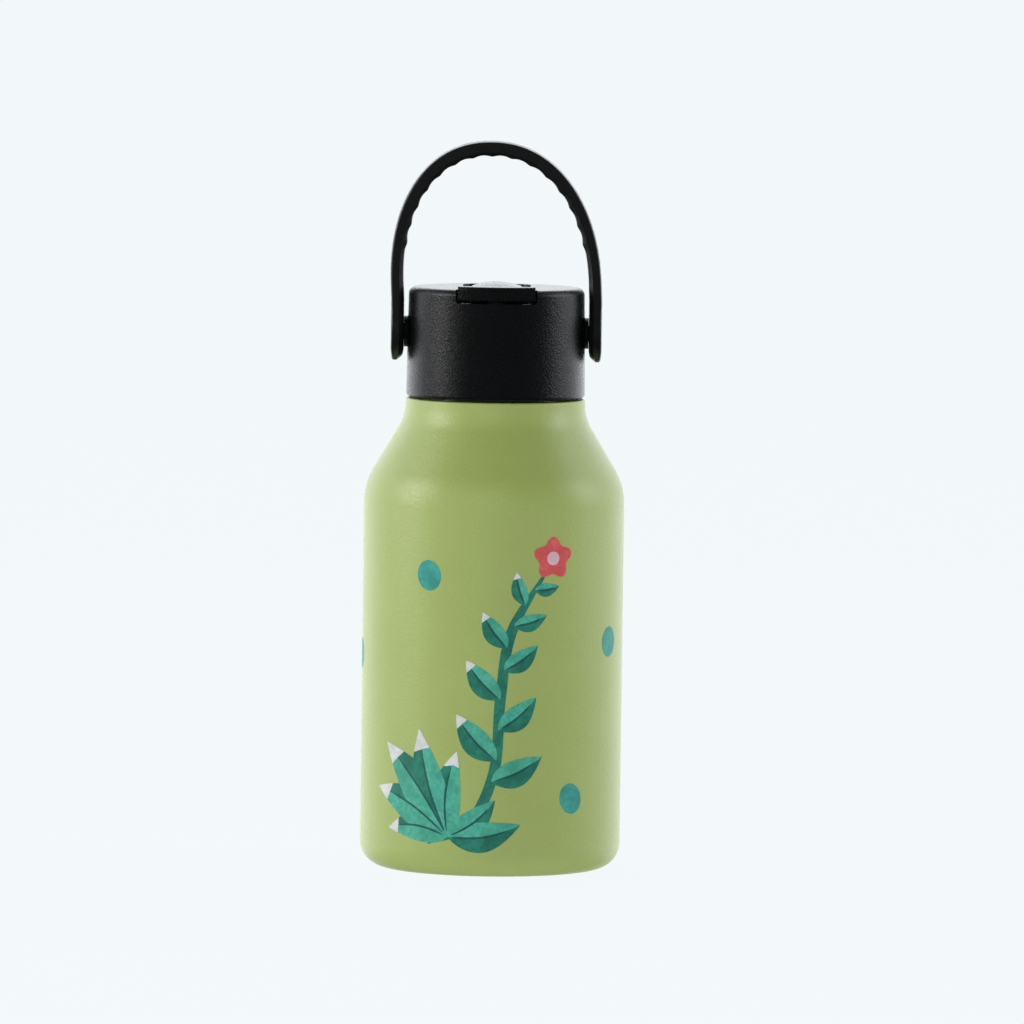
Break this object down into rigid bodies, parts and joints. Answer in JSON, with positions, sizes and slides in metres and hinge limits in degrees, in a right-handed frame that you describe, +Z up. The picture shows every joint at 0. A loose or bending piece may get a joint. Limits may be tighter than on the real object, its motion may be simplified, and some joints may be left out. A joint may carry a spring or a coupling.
{
  "type": "kids water bottle",
  "caption": "Squat insulated steel bottle with a tapered shoulder, a screw lid with a flip-up straw spout flush in its top, and an arched carry handle that swings over it.",
  "frame": {"origin": "middle of the flat ring that the bottle stands on", "axes": "+Z up through the lid, -Y towards the spout's lip at the front, +X to the right as seen from the front"},
  "size_m": [0.073, 0.073, 0.2037],
  "materials": {
    "green_coat": "matt fine-grained powder coat",
    "steel": "turned and brushed",
    "solder": "dull",
    "black_plastic": "fine leather-like grain",
    "handle_plastic": "satin, slightly soft",
    "liner_plastic": "smooth",
    "clear_silicone": "milky",
    "black_silicone": "matt",
    "straw_plastic": "translucent"
  },
  "bodies": {
    "flask": {"outer_shell": "green_coat", "outer_base": "green_coat", "inner_flask": "steel", "inner_base": "steel", "base_cover": "steel", "vacuum_seal": "solder", "getter": "solder"},
    "lid_seal": {"lid_gasket": "clear_silicone"},
    "lid": {"lid_liner": "liner_plastic", "lid_cover": "black_plastic", "hub_seal": "clear_silicone", "straw_adapter": "clear_silicone", "straw": "straw_plastic", "vent_valve": "clear_silicone", "spout_pin_left": "steel", "spout_pin_right": "steel", "pivot_stud_left": "black_plastic", "pivot_stud_right": "black_plastic", "pivot_ring_left": "steel", "pivot_ring_right": "steel"},
    "spout": {"spout_arm": "black_plastic", "mouthpiece": "black_silicone"},
    "handle": {"handle_loop": "handle_plastic"}
  },
  "joints": [
    {"name": "lid_rise", "type": "slide", "parent": "flask", "child": "lid_seal", "axis": [0, 0, 1], "range_m": [0, 0.00455]},
    {"name": "lid_turn", "type": "hinge", "parent": "lid_seal", "child": "lid", "pos_m": [0, 0, 0.145], "axis": [0, 0, 1], "range_deg": [0, 405]},
    {"name": "spout_flip", "type": "hinge", "parent": "lid", "child": "spout", "pos_m": [0, 0.009, 0.156], "axis": [-1, 0, 0], "range_deg": [0, 90]},
    {"name": "handle_swing", "type": "hinge", "parent": "lid", "child": "handle", "pos_m": [0, 0, 0.1501], "axis": [1, 0, 0], "range_deg": [-125, 125]}
  ],
  "couplings": [
    {"joint": "lid_rise", "follows": "lid_turn", "m_per_rad": 0.00063662}
  ]
}
